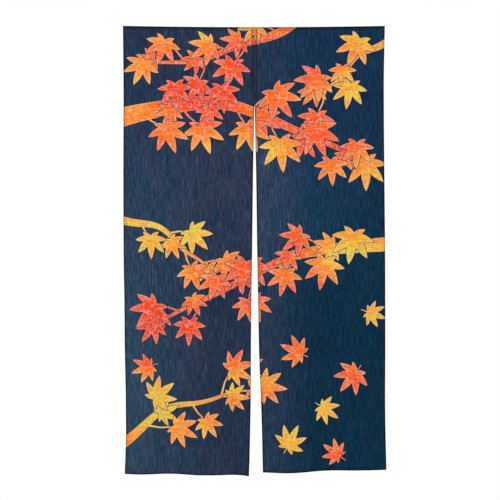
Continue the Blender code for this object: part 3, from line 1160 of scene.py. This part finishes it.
def painted_edge_shade(tree, from_edge, from_slit, below_top, strength):
    """How much darker the edges, hems and grooves are, where the print has this strength: painted shade of
    the turned edges, with some dye, and of the grooves.
    """
    above_slit = spread(tree, below_top, SLIT_HEAD * DROP - SEAM_FADE, SLIT_HEAD * DROP, 1.0, 0.0)
    at_seam = times(tree, above_slit, calc(tree, "LESS_THAN", from_slit, SIDE_HEM))
    side_line = times(tree, line_at(tree, from_edge, 0.0, SIDE_DARK), remainder(tree, at_seam))
    edge_line = calc(tree, "MAXIMUM", side_line, line_at(tree, below_top, 0.0, TOP_DARK))
    edge_line = times(tree, edge_line, spread(tree, strength, 0.0, 1.0, *EDGE_SHARES))
    # Painted shade in the grooves beside the seam's stitches and below the top edge.
    seam_line = line_at(tree, from_slit, SEAM_GROOVE.at, SEAM_GROOVE.half)
    grooves = times(tree, seam_line, above_slit, SEAM_GROOVE.share)
    top_line = line_at(tree, below_top, TOP_GROOVE.at, TOP_GROOVE.half)
    grooves = calc(tree, "MULTIPLY_ADD", top_line, TOP_GROOVE.share, grooves)
    hem_band = remainder(tree, spread(tree, from_edge, *HEM_END))
    return calc(tree, "MULTIPLY_ADD", hem_band, HEM_SHARE, calc(tree, "MAXIMUM", edge_line, grooves))


print("seam grooves", SEAM_GROOVE.at * 1000, "mm from the seam, top groove", TOP_GROOVE.at * 1000, "mm down")

# %% [markdown]
# ## The dyed cloth
#
# One function makes the cloth of either panel, front or back, out of the ground, the print and the edges with
# their painted shade. On the back the print shows through more weakly. The weave roughens the cloth along its
# streaks and raises it.

# %% Make the cloth materials
SHOW_THROUGH = 0.72  # how much of the print's strength the back has
DARK_RIM = screen(34, 22, 24)  # the rim of ground round each stencil, where the dye gathered
RIM_SHARE = 0.75
STREAK_MIDDLE = (0.36, 0.64)
PRINT_STREAKS = (0.74, 1.04)  # how light the print is on a dark streak, and on a light one
ROUGHNESS = (0.93, 0.80)
WEAVE_BUMP = {"Strength": 0.55, "Distance": 0.5 * MM}
SURFACE = {"Specular IOR Level": 0.07, "Sheen Weight": 0.02, "Sheen Roughness": 0.5}
BLACK = (0, 0, 0, 1)


def printed_on(tree, place):
    """The print's colour, where it is, and the rim of ground round each stencil."""
    state = dict(BARE)
    for layer in range(1, LAYERS + 1):
        stencil = attribute(tree, f"stencil_{layer}", "Vector")
        tone = attribute(tree, f"tone_{layer}", "Fac")
        feeds = {"Place": stencil, "Tone": tone, **state}
        made = put(tree, "ShaderNodeGroup", feeds, node_tree=stencil_group)
        state = {key: made.outputs[key] for key in state}
    feeds = {"Flat Place": place, "Tone": state["Top Tone"]}
    feeds.update({key: state[key] for key in ("Vein", "Tip", "Depth")})
    warm = put(tree, "ShaderNodeGroup", feeds, node_tree=warm_group).outputs["Color"]
    rim = times(tree, state["Hidden"], remainder(tree, state["Printed"]))
    return warm, state["Printed"], rim


def dyed_cloth(name, panel, back):
    """The material of one side of a panel."""
    material = bpy.data.materials.new(name)
    material.use_nodes = True
    tree = material.node_tree
    shader = tree.nodes["Principled BSDF"]
    place = attribute(tree, "flat_place", "Vector")
    apart = put(tree, "ShaderNodeSeparateXYZ", {"Vector": place}).outputs
    from_slit, below_top = calc(tree, "ABSOLUTE", apart["X"]), apart["Y"]
    weave = use_group(tree, weave_group, Flat_Place=place)
    streak = weave["Streak"]

    warm, printed, rim = printed_on(tree, place)
    navy = ground_colour(tree, GROUNDS[panel.name], place, from_slit, below_top, streak)
    navy = mixed(tree, times(tree, rim, RIM_SHARE), navy, DARK_RIM)
    warm_streaky = spread(tree, streak, *STREAK_MIDDLE, *PRINT_STREAKS)
    warm = mixed(tree, 1.0, warm, warm_streaky, "MULTIPLY")
    strength = times(tree, printed, SHOW_THROUGH if back else 1.0)
    colour = mixed(tree, strength, navy, warm)
    # Painted shade at the edges and in the grooves darkens the colour towards black.
    darker = painted_edge_shade(tree, attribute(tree, "from_edge", "Fac"), from_slit, below_top, strength)
    tree.links.new(mixed(tree, darker, colour, BLACK), shader.inputs["Base Color"])

    tree.links.new(spread(tree, streak, *STREAK_MIDDLE, *ROUGHNESS), shader.inputs["Roughness"])
    bump = put(tree, "ShaderNodeBump", {"Height": weave["Height"], **WEAVE_BUMP})
    tree.links.new(bump.outputs["Normal"], shader.inputs["Normal"])
    for socket, value in SURFACE.items():
        shader.inputs[socket].default_value = value
    print(name, "material:", len(tree.nodes), "nodes")
    return material


cloth_materials = {
    panel.name: (
        dyed_cloth(panel.name + " face", panel, back=False),
        dyed_cloth(panel.name + " reverse", panel, back=True),
    )
    for panel in PANELS
}

# %% [markdown]
# The sheet is thickened last, by half its thickness to either side of its middle. The inner skin takes the
# second material, so the back of the cloth has the weaker print, while the turned hem, whose face has come
# round to the back, keeps the strong one, just as on the real curtain.

# %% Finish the panels
for panel in PANELS:
    mesh = meshes[panel.name]
    for name in ("across", "down", "side", "step"):
        mesh.attributes.remove(mesh.attributes[name])
    for material in cloth_materials[panel.name]:
        mesh.materials.append(material)
    mesh.shade_smooth()
    cloth = add_object(panel.name, mesh)
    thick = cloth.modifiers.new("one layer", "SOLIDIFY")
    thick.thickness = CLOTH
    thick.offset = 0
    thick.use_even_offset = True
    thick.material_offset = 1
    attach(cloth, "root")
    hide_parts(panel.node)
    print(panel.name, f"thickened to {CLOTH * 1000:.1f} mm, stands for", panel.node)

# %% [markdown]
# ## Stitches
#
# A row of running stitches holds each hem, and closer whip stitches join the two panels down to the slit,
# where a bar tack keeps the seam from tearing. They are small spindles of thread, laid along the row on the
# front and on the back. A bump could suggest them, but real ones catch the light and show in the mesh. One
# spindle is made, and each stitch is a copy of it: to create each anew in the growing mesh would be slow.

# %% Sew the hems
STITCH = 3.2 * MM
STITCH_PITCH = 5.0 * MM
THREAD = 0.34 * MM  # half of its width as it lies
FLATTENED = 0.75  # a thread's height as a share of its width
SPINDLE_SIDES = 6
SPINDLE_RINGS = 4
BACK_OF_HEM = 2 * TURN + CLOTH
PLY = 1400  # changes a metre in the thread's shade
PLY_RANGE = (0.35, 0.65)
PLY_BUMP = {"Strength": 0.6, "Distance": 0.1 * MM}
thread = plain_material("navy thread", screen(34, 50, 76)[:3], 0.6)
tree = thread.node_tree
shader = tree.nodes["Principled BSDF"]
place = put(tree, "ShaderNodeTexCoord").outputs["Object"]
ply = noise(tree, scaled(tree, place, PLY, PLY), 1.0)
colour = mixed(tree, spread(tree, ply, *PLY_RANGE), screen(20, 34, 56), screen(58, 76, 104))
tree.links.new(colour, shader.inputs["Base Color"])
twist = put(tree, "ShaderNodeBump", {"Height": ply, **PLY_BUMP})
tree.links.new(twist.outputs["Normal"], shader.inputs["Normal"])

bm = bmesh.new()
bmesh.ops.create_uvsphere(bm, u_segments=SPINDLE_SIDES, v_segments=SPINDLE_RINGS, radius=1)
one_stitch = bpy.data.meshes.new("one stitch")
bm.to_mesh(one_stitch)
bm.free()


def add_stitch(bm, middle, way, length, thread_half):
    """A spindle of thread, its long axis along way."""
    turn = Vector(way).to_track_quat("Z", "Y").to_matrix().to_4x4()
    size = Matrix.Diagonal((thread_half, thread_half * FLATTENED, length / 2, 1))
    stitch = one_stitch.copy()
    stitch.transform(Matrix.Translation(middle) @ turn @ size)
    bm.from_mesh(stitch)
    bpy.data.meshes.remove(stitch)


def row_of(length, margin):
    """Places along a row of stitches."""
    count = int((length - 2 * margin) / STITCH_PITCH)
    return np.linspace(margin, length - margin, count + 1)


def hem_rows(panel):
    """The middles of a panel's hem stitches, on its front face, and the way each one lies."""
    down, over = row_of(DROP, SIDE_STITCH), row_of(PANEL_WIDTH, END_STITCH)
    across = [np.full_like(down, SIDE_STITCH), np.full_like(down, PANEL_WIDTH - SIDE_STITCH), over, over]
    drop = [down, down, np.full_like(over, END_STITCH), np.full_like(over, DROP - END_STITCH)]
    upright = np.concatenate([np.ones(2 * len(down)), np.zeros(2 * len(over))])
    across, drop = np.concatenate(across), np.concatenate(drop)
    half = STITCH / 2
    before = hang(panel, (across - half * (1 - upright)) / PANEL_WIDTH, (drop - half * upright) / DROP)
    after = hang(panel, (across + half * (1 - upright)) / PANEL_WIDTH, (drop + half * upright) / DROP)
    return (before + after) / 2, after - before


def finish_thread(name, bm):
    mesh = bpy.data.meshes.new(name)
    bm.to_mesh(mesh)
    bm.free()
    mesh.shade_smooth()
    mesh.materials.append(thread)
    piece = add_object(name, mesh)
    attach(piece, "root")
    print(name, len(mesh.polygons), "faces")
    return piece


for panel in PANELS:
    bm = bmesh.new()
    middles, ways = hem_rows(panel)
    for behind in (0.0, BACK_OF_HEM):
        for middle, way in zip(middles, ways):
            add_stitch(bm, Vector(middle) + Vector((0, behind, 0)), way, STITCH, THREAD)
    finish_thread(panel.name.replace("cloth", "hem_stitches"), bm)

# %% [markdown]
# The two panels are held edge to edge by whip stitches, which slant one way on the front and the other way on
# the back, as a hand-sewn seam does. At the slit's head a bar tack, a few threads laid close together across
# the seam, takes the pull when someone walks through. One long slanting stitch repeated down the seam is
# enough, since the thread inside the cloth never shows.

# %% Sew the seam
SEAM_PITCH = 4.0 * MM
SEAM_STITCH = 4.6 * MM
SEAM_SLANT = 0.45  # how far a whip stitch runs down for each step across
SEAM_MARGIN = 4 * MM  # left free at either end of the row
TACK_STITCH = 7.5 * MM
TACK_PITCH = 0.8 * MM
TACK_COUNT = 8
TACK_THREAD = 1.3 * THREAD
TACK_OUT = 0.1 * MM  # how far it stands out from the whip stitches
bm = bmesh.new()
seam_end = SLIT_HEAD * DROP
for t in np.arange(SEAM_MARGIN, seam_end - SEAM_MARGIN, SEAM_PITCH):
    for y, slant in ((0.0, SEAM_SLANT), (BACK_OF_HEM, -SEAM_SLANT)):
        add_stitch(bm, Vector((0, y, -t)), (1, 0, slant), SEAM_STITCH, THREAD)
for k in range(TACK_COUNT):
    for y in (-TACK_OUT, BACK_OF_HEM + TACK_OUT):
        add_stitch(bm, Vector((0, y, -seam_end + k * TACK_PITCH)), (1, 0, 0), TACK_STITCH, TACK_THREAD)
seam_threads = finish_thread("seam_stitches", bm)
print(f"seam sewn from the top edge down to {seam_end * 1000:.0f} mm below it")
